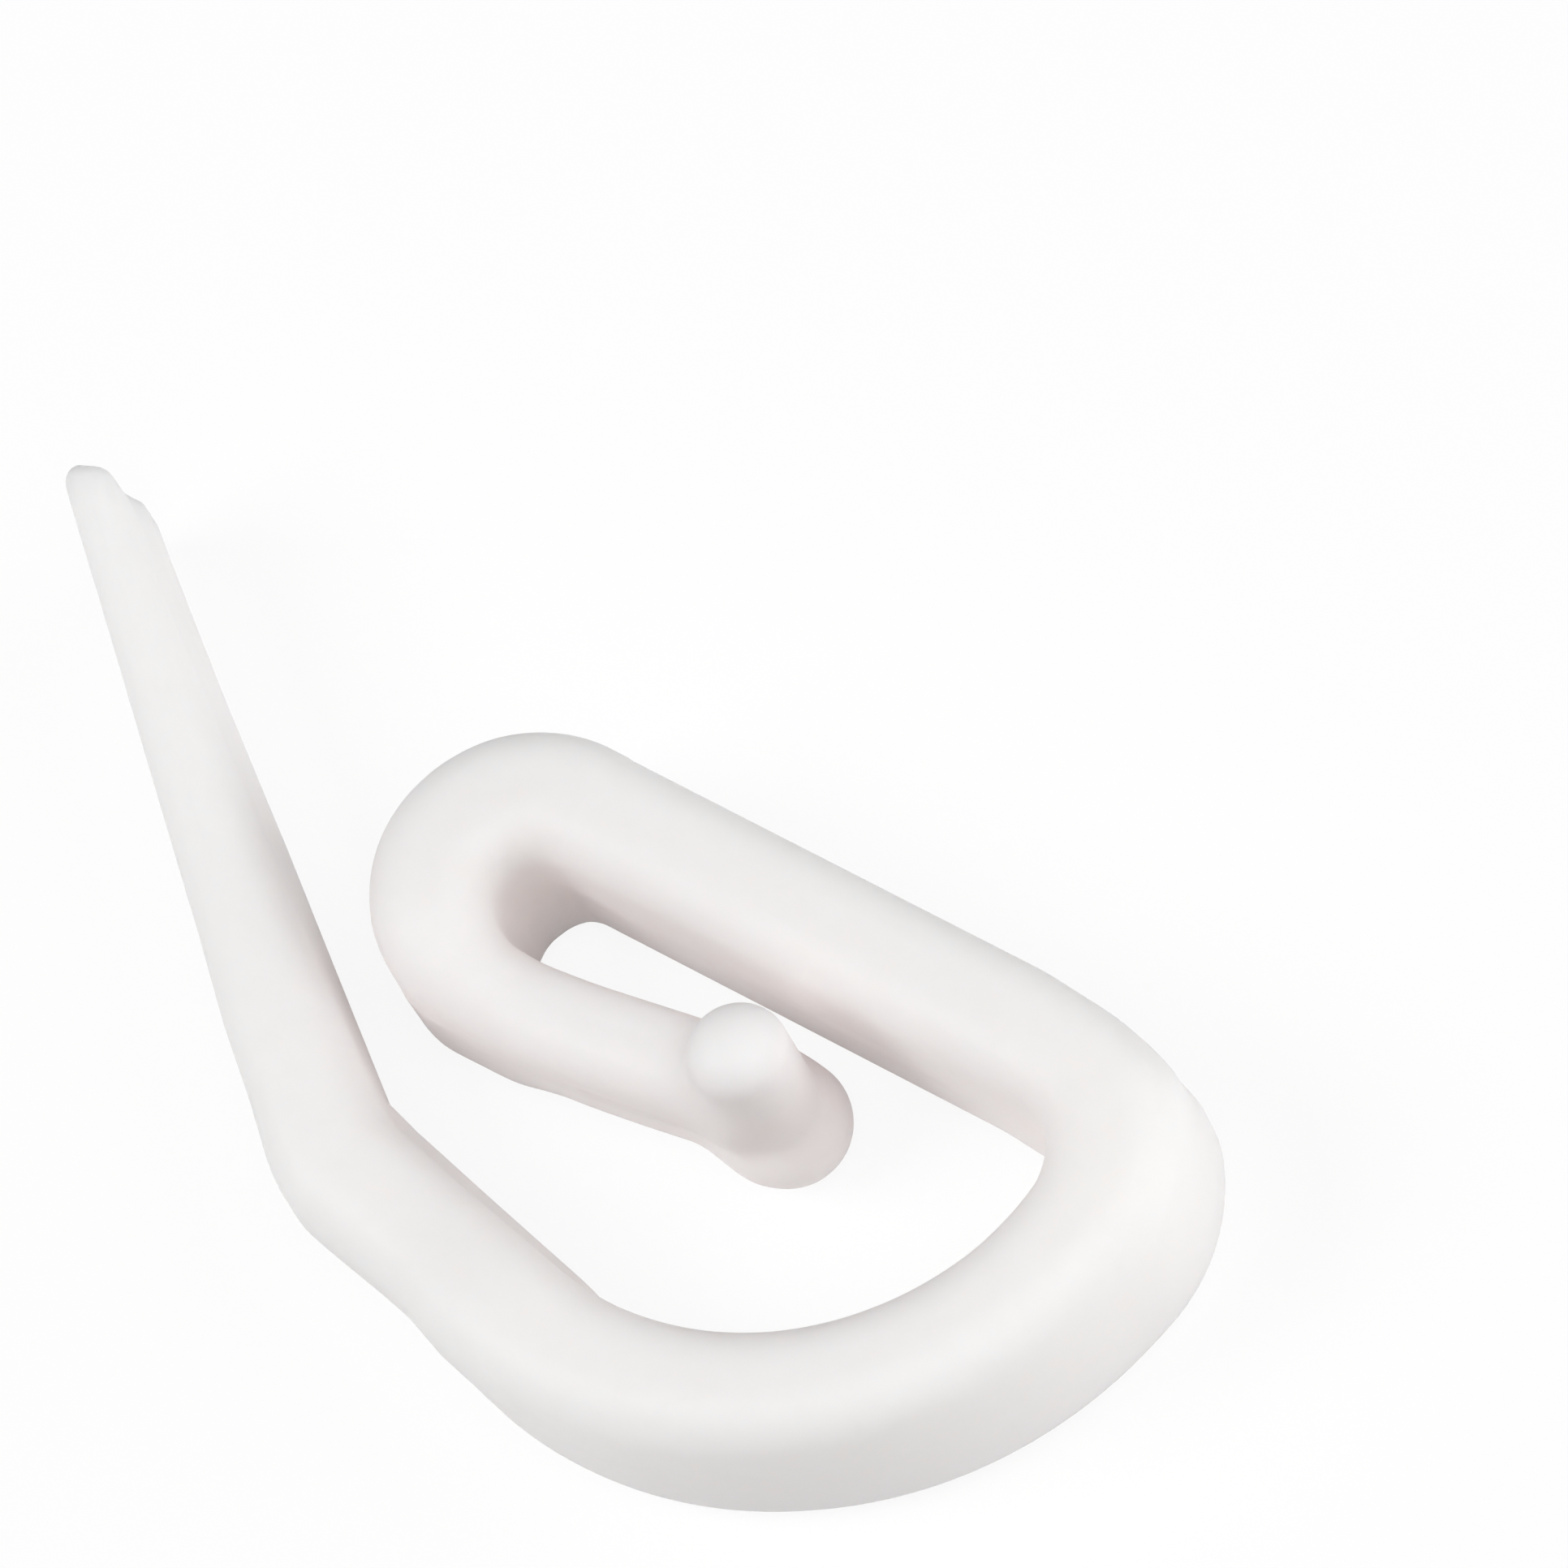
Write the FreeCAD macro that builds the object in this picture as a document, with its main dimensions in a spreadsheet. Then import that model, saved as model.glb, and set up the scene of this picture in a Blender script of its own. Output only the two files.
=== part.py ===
"""Curtain hook: one moulded bar, curled in a plane, with a long prong at one end and a pin at the other.

The hook lies flat. Its origin is the middle of the back bar, on the face that it rests on. X runs along the
back bar towards the turn, Y from the back bar into the loop, and Z up through the bar's depth. The path runs
from the prong's tip through the bend, leg, bow and shoulder into the back bar, then round the turn into the
arm, and always turns left.
"""
import FreeCAD, Part
import math
import os

import Sketcher
from FreeCAD import Placement, Rotation, Vector

SHEET = "driving_dimensions"
# Two places closer than this are the same
CLOSE = 1e-5

# Driving dimensions, in millimetres and degrees
SIZES = {
    # The bar, which keeps one section through the bow, shoulder and back
    "bar_width": 2.7,
    "bar_depth": 4.5,
    "bar_corner": 0.95,
    "back_length": 12.0,
    "shoulder_radius": 2.7,
    "shoulder_angle": 94.4,
    "bow_radius": 7.8,
    "bow_angle": 98.2,
    # The leg and prong, less deep than the bar and clear of the resting face
    "leg_width": 2.65,
    "leg_depth": 3.45,
    "leg_corner": 0.95,
    "leg_lift": 0.65,
    "leg_blend_length": 3.0,
    "leg_length": 2.05,
    "bend_radius": 3.0,
    "bend_angle": 24.4,
    "prong_length": 16.3,
    "tip_width": 1.0,
    "tip_corner": 0.45,
    "tip_round": 0.35,
    # The slot, whose round end stops short of the turn, and the arm beyond it
    "slot_width": 1.75,
    "slot_setback": 0.5,
    "arm_width": 2.1,
    "arm_depth": 3.1,
    "arm_corner": 0.85,
    "arm_lift": 0.72,
    "arm_blend_length": 2.6,
    "arm_length": 3.7,
    "arm_angle": 9.1,
    # The pin across the arm's end, with a ball at its lower end
    "pin_ball_radius": 1.32,
    "pin_radius": 1.05,
    "pin_length": 5.5,
}


class Station:
    """A place on the path: a point in plan, and the path's heading there in degrees from +X."""

    def __init__(self, x, y, heading):
        self.x = x
        self.y = y
        self.heading = heading

    def shifted(self, forward, left):
        angle = math.radians(self.heading)
        x = self.x + forward * math.cos(angle) - left * math.sin(angle)
        y = self.y + forward * math.sin(angle) + left * math.cos(angle)
        return Station(x, y, self.heading)

    def along(self, length):
        """The station this far further on a straight run, or back with a negative length."""
        return self.shifted(length, 0.0)

    def around(self, radius, angle):
        """The station after a left turn of this angle, or before one with a negative angle."""
        centre = self.shifted(0.0, radius)
        return Station(centre.x, centre.y, self.heading + angle).shifted(0.0, -radius)

    def slanted(self, length, angle):
        """The station after a short run in which the heading changes by this angle."""
        middle = Station(self.x, self.y, self.heading + angle / 2).along(length)
        return Station(middle.x, middle.y, self.heading + angle)


class Section:
    """A rounded rectangle across the path, given by the names of its driving dimensions."""

    def __init__(self, width, depth, corner, lift=None):
        self.width = width
        self.depth = depth
        self.corner = corner
        self.lift = lift

    def draw(self, body, name, station, reach=None):
        """Draws the section at a station. With a reach, the sketch's origin is an arc's centre."""
        distance = SIZES[reach] if reach else 0.0
        bottom = SIZES[self.lift] if self.lift else 0.0
        width, depth, corner = SIZES[self.width], SIZES[self.depth], SIZES[self.corner]
        left, right, top = -distance - width / 2, -distance + width / 2, bottom + depth
        sketch = upright_sketch(body, name, station, distance)
        sketch.addGeometry([
            line_piece((left + corner, bottom), (right - corner, bottom)),
            arc_piece(right - corner, bottom + corner, corner, 270, 360),
            line_piece((right, bottom + corner), (right, top - corner)),
            arc_piece(right - corner, top - corner, corner, 0, 90),
            line_piece((right - corner, top), (left + corner, top)),
            arc_piece(left + corner, top - corner, corner, 90, 180),
            line_piece((left, top - corner), (left, bottom + corner)),
            arc_piece(left + corner, bottom + corner, corner, 180, 270),
        ], False)
        bottom_line, first_arc, right_line, second_arc, top_line, third_arc, left_line, last_arc = range(8)
        for piece in range(8):
            constrain(sketch, "Tangent", piece, 2, (piece + 1) % 8, 1)
        for line in (bottom_line, top_line):
            constrain(sketch, "Horizontal", line)
        for line in (right_line, left_line):
            constrain(sketch, "Vertical", line)
        for arc in (second_arc, third_arc, last_arc):
            constrain(sketch, "Equal", first_arc, arc)
        far_side = f"{cell(self.width)} / 2" + (f" + {cell(reach)}" if reach else "")
        top_height = cell(self.depth) + (f" + {cell(self.lift)}" if self.lift else "")
        bind(sketch, "corner", "Radius", (first_arc,), corner, cell(self.corner))
        bind(sketch, "width", "DistanceX", (left_line, 1, right_line, 1), width, cell(self.width))
        bind(sketch, "depth", "DistanceY", (bottom_line, 1, top_line, 1), depth, cell(self.depth))
        bind(sketch, "far_side", "DistanceX", (left_line, 1, *ORIGIN), -left, far_side)
        bind(sketch, "top", "DistanceY", (*ORIGIN, top_line, 1), top, top_height)
        return sketch


BAR = Section("bar_width", "bar_depth", "bar_corner")
LEG = Section("leg_width", "leg_depth", "leg_corner", "leg_lift")
TIP = Section("tip_width", "leg_depth", "tip_corner", "leg_lift")
TURN_END = Section("arm_width", "bar_depth", "bar_corner")
ARM = Section("arm_width", "arm_depth", "arm_corner", "arm_lift")

# How a sketch's constraints name its origin
ORIGIN = (-1, 1)


def cell(name):
    """Expression that reads one driving dimension."""
    return f"{SHEET}.{name}"


def make_sheet(doc):
    sheet = doc.addObject("Spreadsheet::Sheet", SHEET)
    for row, (name, value) in enumerate(SIZES.items(), start=1):
        sheet.set(f"A{row}", name)
        sheet.set(f"B{row}", str(value))
        sheet.setAlias(f"B{row}", name)
    doc.recompute()


def sketch_on(body, name, role, offset):
    """Sketch on one of the body's own origin planes."""
    plane = next(item for item in body.Origin.OriginFeatures if item.Role == role)
    sketch = body.newObject("Sketcher::SketchObject", name)
    sketch.AttachmentSupport = [(plane, "")]
    sketch.MapMode = "FlatFace"
    sketch.AttachmentOffset = offset
    return sketch


def upright_sketch(body, name, station, reach):
    """Sketch across the path, its x to the left and its y up, with its origin this far to the left."""
    centre = station.shifted(0.0, reach)
    turn = Rotation(Vector(0.0, 1.0, 0.0), station.heading)
    return sketch_on(body, name, "YZ_Plane", Placement(Vector(centre.y, 0.0, centre.x), turn))


def constrain(sketch, kind, *refs):
    return sketch.addConstraint(Sketcher.Constraint(kind, *refs))


def keep_on_upright_axis(sketch, item, point):
    """Ties a point of an item to the sketch's upright axis, which its constraints know as item -2."""
    return constrain(sketch, "PointOnObject", item, point, -2)


def bind(sketch, name, kind, refs, value, expression):
    """Adds a named dimension to a sketch and ties it to the sheet."""
    index = constrain(sketch, kind, *refs, value)
    sketch.renameConstraint(index, name)
    sketch.setExpression(f"Constraints.{name}", expression)


def arc_piece(x, y, radius, start, end):
    circle = Part.Circle(Vector(x, y, 0.0), Vector(0.0, 0.0, 1.0), radius)
    return Part.ArcOfCircle(circle, math.radians(start), math.radians(end))


def line_piece(start, end):
    return Part.LineSegment(Vector(*start, 0.0), Vector(*end, 0.0))


def straight(body, name, section, station, length):
    """A straight stretch of constant section, whose length is an expression."""
    pad = body.newObject("PartDesign::Pad", name)
    pad.Profile = section.draw(body, name + "_section", station)
    pad.setExpression("Length", length)


def revolved(body, name, sketch):
    """A sketch turned about its own upright axis."""
    turn = body.newObject("PartDesign::Revolution", name)
    turn.Profile = sketch
    turn.ReferenceAxis = (sketch, ["V_Axis"])
    return turn


def curved(body, name, section, station, radius, angle):
    """A stretch of constant section that turns left."""
    sketch = section.draw(body, name + "_section", station, radius)
    revolved(body, name, sketch).setExpression("Angle", cell(angle))


def blended(body, name, start, end):
    """A stretch that changes from one section to another, each given with its station."""
    loft = body.newObject("PartDesign::AdditiveLoft", name)
    loft.Profile = start[0].draw(body, name + "_start", start[1])
    loft.Sections = [end[0].draw(body, name + "_end", end[1])]
    loft.Ruled = True
    return loft


def rounded(body, name, base, chosen, radius):
    """Fillet on those edges of a feature that a test picks out."""
    edges = [f"Edge{index}" for index, edge in enumerate(base.Shape.Edges, start=1) if chosen(edge)]
    fillet = body.newObject("PartDesign::Fillet", name)
    fillet.Base = (base, edges)
    fillet.setExpression("Radius", cell(radius))


def is_long_edge(edge):
    """True for the level edges of the turn that run round it, not across its ends."""
    first, last = edge.Vertexes[0], edge.Vertexes[-1]
    level = abs(first.Z - last.Z) < CLOSE
    across_end = isinstance(edge.Curve, Part.Line) and abs(first.X - last.X) < CLOSE
    return level and not across_end


def add_turn(doc, body):
    """The half turn round the slot's end, wide where it leaves the back bar and narrower at the arm."""
    bar, slot, arm = SIZES["bar_width"], SIZES["slot_width"], SIZES["arm_width"]
    setback = SIZES["slot_setback"]
    radius = (bar + slot + arm) / 2
    inner_y, outer_y = bar / 2 + slot, bar / 2 + slot + arm
    sketch = sketch_on(body, "turn_outline", "XY_Plane", Placement())
    sketch.setExpression("AttachmentOffset.Base.x", f"{cell('back_length')} / 2")
    sketch.addGeometry([
        arc_piece(0.0, radius - bar / 2, radius, -90, 90),
        line_piece((0.0, outer_y), (-setback, outer_y)),
        line_piece((-setback, outer_y), (-setback, inner_y)),
        arc_piece(-setback, (bar + slot) / 2, slot / 2, -90, 90),
        line_piece((-setback, bar / 2), (-setback, -bar / 2)),
        line_piece((-setback, -bar / 2), (0.0, -bar / 2)),
    ], False)
    outside, arm_side, arm_end, slot_end, bar_end, bar_side = range(6)
    constrain(sketch, "Coincident", outside, 2, arm_side, 1)
    constrain(sketch, "Coincident", arm_side, 2, arm_end, 1)
    constrain(sketch, "Coincident", arm_end, 2, slot_end, 2)
    constrain(sketch, "Coincident", slot_end, 1, bar_end, 1)
    constrain(sketch, "Coincident", bar_end, 2, bar_side, 1)
    constrain(sketch, "Coincident", bar_side, 2, outside, 1)
    for point in (1, 2, 3):
        keep_on_upright_axis(sketch, outside, point)
    for line in (arm_side, bar_side):
        constrain(sketch, "Horizontal", line)
    for line in (arm_end, bar_end):
        constrain(sketch, "Vertical", line)
    constrain(sketch, "PointOnObject", slot_end, 3, bar_end)
    constrain(sketch, "Vertical", bar_end, 1, arm_end, 2)
    bind(sketch, "setback", "DistanceX", (bar_side, 1, bar_side, 2), setback, cell("slot_setback"))
    bind(sketch, "bar_width", "DistanceY", (bar_end, 2, bar_end, 1), bar, cell("bar_width"))
    bind(sketch, "slot_width", "DistanceY", (slot_end, 1, slot_end, 2), slot, cell("slot_width"))
    bind(sketch, "arm_width", "DistanceY", (arm_end, 2, arm_end, 1), arm, cell("arm_width"))
    bind(sketch, "half_bar", "DistanceY", (bar_end, 2, *ORIGIN), bar / 2, f"{cell('bar_width')} / 2")
    pad = body.newObject("PartDesign::Pad", "turn")
    pad.Profile = sketch
    pad.setExpression("Length", cell("bar_depth"))
    doc.recompute()
    rounded(body, "turn_corners", pad, is_long_edge, "bar_corner")


def add_prong(doc, body, tip, bend_start):
    """The prong widens evenly from its rounded tip to the bend."""
    prong = blended(body, "prong", (TIP, tip), (LEG, bend_start))
    doc.recompute()
    angle = math.radians(tip.heading)
    forward = Vector(math.cos(angle), math.sin(angle), 0.0)
    end = Vector(tip.x, tip.y, 0.0)

    def is_end_edge(edge):
        return all(abs((point - end).dot(forward)) < CLOSE for point in edge.discretize(3))

    rounded(body, "tip_rounding", prong, is_end_edge, "tip_round")


def add_pin(body, station):
    """The pin stands across the arm's end: a ball on the resting face, a plain side and a domed top."""
    ball, radius, length = SIZES["pin_ball_radius"], SIZES["pin_radius"], SIZES["pin_length"]
    ball_top = ball + math.sqrt(ball ** 2 - radius ** 2)
    sketch = upright_sketch(body, "pin_profile", station, 0.0)
    sketch.addGeometry([
        arc_piece(0.0, ball, ball, -90, math.degrees(math.acos(radius / ball))),
        line_piece((radius, ball_top), (radius, length - radius)),
        arc_piece(0.0, length - radius, radius, 0, 90),
        line_piece((0.0, length), (0.0, 0.0)),
    ], False)
    ball_arc, side, dome, axis = range(4)
    constrain(sketch, "Coincident", ball_arc, 2, side, 1)
    constrain(sketch, "Tangent", side, 2, dome, 1)
    constrain(sketch, "Coincident", dome, 2, axis, 1)
    constrain(sketch, "Coincident", axis, 2, ball_arc, 1)
    constrain(sketch, "Coincident", axis, 2, *ORIGIN)
    for arc in (ball_arc, dome):
        keep_on_upright_axis(sketch, arc, 3)
    for line in (side, axis):
        constrain(sketch, "Vertical", line)
    bind(sketch, "ball_radius", "Radius", (ball_arc,), ball, cell("pin_ball_radius"))
    bind(sketch, "pin_radius", "Radius", (dome,), radius, cell("pin_radius"))
    bind(sketch, "pin_length", "DistanceY", (*ORIGIN, axis, 1), length, cell("pin_length"))
    revolved(body, "pin", sketch)


def check(doc, body):
    """Stops the build on a feature that failed or a solid that isn't sound."""
    for item in doc.Objects:
        if "Invalid" in item.State or "Error" in item.State:
            raise RuntimeError(f"{item.Name} failed: {item.State}")
    shape = body.Shape
    if shape.isNull() or not shape.isValid() or len(shape.Solids) != 1:
        raise RuntimeError("the hook isn't one sound solid")


def main():
    doc = FreeCAD.newDocument("curtain_hook")
    make_sheet(doc)
    body = doc.addObject("PartDesign::Body", "hook")
    body.Label = "hook"

    # The path back from the back bar to the prong's tip
    back_start = Station(-SIZES["back_length"] / 2, 0.0, 0.0)
    shoulder_start = back_start.around(SIZES["shoulder_radius"], -SIZES["shoulder_angle"])
    bow_start = shoulder_start.around(SIZES["bow_radius"], -SIZES["bow_angle"])
    leg_end = bow_start.along(-SIZES["leg_blend_length"])
    leg_start = leg_end.along(-SIZES["leg_length"])
    bend_start = leg_start.around(SIZES["bend_radius"], -SIZES["bend_angle"])
    tip = bend_start.along(-SIZES["prong_length"])

    # The path on from the slot's end to the pin
    slot_end = SIZES["back_length"] / 2 - SIZES["slot_setback"]
    arm_y = SIZES["slot_width"] + (SIZES["bar_width"] + SIZES["arm_width"]) / 2
    arm_start = Station(slot_end, arm_y, 180.0)
    arm_run = arm_start.slanted(SIZES["arm_blend_length"], SIZES["arm_angle"])
    pin_place = arm_run.along(SIZES["arm_length"])

    add_turn(doc, body)
    straight(body, "back", BAR, back_start, f"{cell('back_length')} - {cell('slot_setback')}")
    curved(body, "shoulder", BAR, shoulder_start, "shoulder_radius", "shoulder_angle")
    curved(body, "bow", BAR, bow_start, "bow_radius", "bow_angle")
    blended(body, "leg_blend", (LEG, leg_end), (BAR, bow_start))
    straight(body, "leg", LEG, leg_start, cell("leg_length"))
    curved(body, "bend", LEG, bend_start, "bend_radius", "bend_angle")
    add_prong(doc, body, tip, bend_start)
    blended(body, "arm_blend", (TURN_END, arm_start), (ARM, arm_run))
    straight(body, "arm", ARM, arm_run, cell("arm_length"))
    add_pin(body, pin_place)
    doc.recompute()
    check(doc, body)
    os.makedirs("parts", exist_ok=True)
    body.Shape.exportStep("parts/hook.step")


main()
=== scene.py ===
"""Looks of the curtain hook: one bar of moulded plastic, curled in a plane, with a prong and a pin at its ends.

The hook lies flat on a pale floor. Its frame is the construction's own: the origin is the middle of the back bar
on its lower face, X runs along the back bar towards the turn, Y into the loop and Z up. Sizes are in millimetres
until a mesh is made, and everything in Blender is in metres.
"""
import logging
import math
from collections.abc import Callable
from dataclasses import dataclass, field
from enum import Enum

import bmesh
import bpy
import numpy as np
from mathutils import Matrix, Vector


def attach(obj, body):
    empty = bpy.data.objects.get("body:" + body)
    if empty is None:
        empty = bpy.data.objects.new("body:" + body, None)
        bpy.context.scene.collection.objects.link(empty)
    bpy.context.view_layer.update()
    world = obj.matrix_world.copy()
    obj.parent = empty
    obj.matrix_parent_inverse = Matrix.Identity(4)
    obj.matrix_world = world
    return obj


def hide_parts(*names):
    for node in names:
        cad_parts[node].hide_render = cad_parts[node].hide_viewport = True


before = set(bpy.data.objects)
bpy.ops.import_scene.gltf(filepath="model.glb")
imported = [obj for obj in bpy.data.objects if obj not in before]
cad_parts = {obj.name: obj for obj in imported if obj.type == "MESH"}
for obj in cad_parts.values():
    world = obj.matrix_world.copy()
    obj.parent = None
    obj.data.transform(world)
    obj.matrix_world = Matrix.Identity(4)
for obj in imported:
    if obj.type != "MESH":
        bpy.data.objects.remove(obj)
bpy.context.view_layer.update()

LOG = logging.getLogger("curtain_hook")
MM = 0.001
NODE = "hook"
BODY = "root"

# In metres: how close vertices are to count as one, in a grid and after a union, and how short a useless edge is.
SAME_PLACE = 1e-7
WELD = 1.2e-5
NO_LENGTH = 1e-6

Knots = tuple[tuple[float, float], ...]
Colour = tuple[float, float, float]


class Side(Enum):
    """The two sides of the path, as signs of the distance across it."""

    LEFT = -1.0
    RIGHT = 1.0


class Run(Enum):
    """The runs of the path from the tip to the slot's end, in order."""

    PRONG = 0
    BEND = 1
    LEG = 2
    LEG_BLEND = 3
    BOW = 4
    SHOULDER = 5
    BACK = 6


@dataclass(frozen=True)
class Trim:
    """How far an edge of the moulding stands out from the plain bar along one run of the path.

    Each knot is a share of the run's length, and the millimetres there.
    """

    run: Run
    knots: Knots


def directions(angle: np.ndarray | float) -> np.ndarray:
    """Unit vectors in plan at some headings: cos along X and sin along Y."""
    return np.stack([np.cos(angle), np.sin(angle)], axis=-1)


def rightward(angle: np.ndarray) -> np.ndarray:
    """Unit vectors in plan to the right of some headings: sin along X and -cos along Y."""
    return np.stack([np.sin(angle), -np.cos(angle)], axis=-1)


def smooth_step(values: np.ndarray, start: float, end: float) -> np.ndarray:
    """Rises smoothly from 0 at start to 1 at end, by the cubic 3t^2 - 2t^3.

    Args:
        values: where to work it out.
        start: the value at which it leaves 0.
        end: the value at which it reaches 1.

    Returns:
        One number from 0 to 1 for each value.
    """
    share = np.clip((values - start) / (end - start), 0.0, 1.0)
    return share * share * (3.0 - 2.0 * share)


def followed(values: np.ndarray, places: np.ndarray, heights: np.ndarray, softness: float) -> np.ndarray:
    """Straight lines through a few heights, with their corners softened by a mean over a short stretch.

    Args:
        values: where to work it out.
        places: the places of the heights, rising.
        heights: the heights.
        softness: half the length of the stretch.

    Returns:
        One height for each value, level before the first place and after the last.
    """
    samples = 9
    offsets = np.linspace(-softness, softness, samples)
    return np.interp(values[:, None] + offsets, places, heights).mean(axis=1)


def softly_joined(first: np.ndarray, second: np.ndarray, reach: float) -> np.ndarray:
    """Distance to two shapes joined by a fillet: the lesser one, less (reach - gap)^2 / (4 reach) near the join.

    Args:
        first: signed distances to one shape.
        second: signed distances to the other.
        reach: how far from the join the fillet spreads.

    Returns:
        The signed distances to the joined shape.
    """
    gap = np.clip(reach - np.abs(first - second), 0.0, None)
    return np.minimum(first, second) - gap * gap / (4.0 * reach)


@dataclass(frozen=True)
class Outline:
    """The closed outline of the bar's section, as shares of the sizes that a section has.

    A point's place across the path is across_width * half_width + across_corner * corner. Its height is the sum of
    bottom, top, parting height and corner, each times its own share, and of off_parting * parting_step / 2.
    """

    across_width: np.ndarray
    across_corner: np.ndarray
    share_bottom: np.ndarray
    share_top: np.ndarray
    share_parting: np.ndarray
    share_corner: np.ndarray
    off_parting: np.ndarray
    is_lower: np.ndarray

    @staticmethod
    def rounded_rectangle(corner_steps: int, wall_steps: int, flat_steps: int) -> "Outline":
        """Outline of four quarter rounds, two flats and two walls, each wall cut in two at the parting line.

        Args:
            corner_steps: steps along each quarter round.
            wall_steps: steps along each half of a wall.
            flat_steps: steps along the top and the bottom.

        Returns:
            The outline, from the lower right round up and over to the left and back along the bottom.
        """
        quarter = np.linspace(0.0, math.pi / 2, corner_steps + 1)
        rise = np.linspace(0.0, 1.0, wall_steps + 1)
        run = np.linspace(1.0, -1.0, flat_steps + 1)[1:-1]
        right, left = Side.RIGHT.value, Side.LEFT.value
        rows = [
            Outline.quarter_round(right, True, quarter[::-1]),
            Outline.half_wall(right, True, rise[1:]),
            Outline.half_wall(right, False, rise[:-1]),
            Outline.quarter_round(right, False, quarter),
            Outline.rows(run, -run, 0.0, 1.0, 0.0, 0.0, 0.0, 0.0),
            Outline.quarter_round(left, False, quarter[::-1]),
            Outline.half_wall(left, False, rise[-2::-1]),
            Outline.half_wall(left, True, rise[:0:-1]),
            Outline.quarter_round(left, True, quarter),
            Outline.rows(-run, run, 1.0, 0.0, 0.0, 0.0, 0.0, 1.0),
        ]
        return Outline(*np.concatenate(rows).T)

    @staticmethod
    def rows(*columns: np.ndarray | float) -> np.ndarray:
        """One row of the outline's eight numbers for each of its points."""
        return np.stack(np.broadcast_arrays(*columns), axis=1).astype(float)

    @staticmethod
    def quarter_round(side: float, is_low: bool, angle: np.ndarray) -> np.ndarray:
        """Points of a round edge, by cos and sin of the angle from its wall to its flat."""
        out, up = side * (np.cos(angle) - 1.0), np.sin(angle)
        if is_low:
            return Outline.rows(side, out, 1.0, 0.0, 0.0, 1.0 - up, 0.0, 1.0)
        return Outline.rows(side, out, 0.0, 1.0, 0.0, up - 1.0, 0.0, 0.0)

    @staticmethod
    def half_wall(side: float, is_low: bool, up: np.ndarray) -> np.ndarray:
        """Points of half a wall, between the parting line and a round, by how far up it each is, from 0 to 1."""
        if is_low:
            return Outline.rows(side, 0.0, 1.0 - up, 0.0, up, 1.0 - up, -up, 1.0)
        return Outline.rows(side, 0.0, 0.0, up, 1.0 - up, -up, 1.0 - up, 0.0)


@dataclass
class Stations:
    """Sections along the path, one row for each, in millimetres.

    Left and right are the outline's two edges in plan, and the two lower values say how much further each stands
    out below the parting line. Mismatch is the share of the mould's traces that shows, the parting step is the
    height between a wall's two halves, and the setback is how far the top's left edge is moved on along the path,
    and its right edge back.
    """

    left: np.ndarray
    right: np.ndarray
    bottom: np.ndarray
    top: np.ndarray
    corner: np.ndarray
    mismatch: np.ndarray
    left_lower: np.ndarray
    right_lower: np.ndarray
    parting_step: np.ndarray
    setback: np.ndarray

    @staticmethod
    def joined(parts: list["Stations"]) -> "Stations":
        """One row of sections after another."""
        names = Stations.__dataclass_fields__
        return Stations(*(np.concatenate([getattr(part, name) for part in parts]) for name in names))


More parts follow.
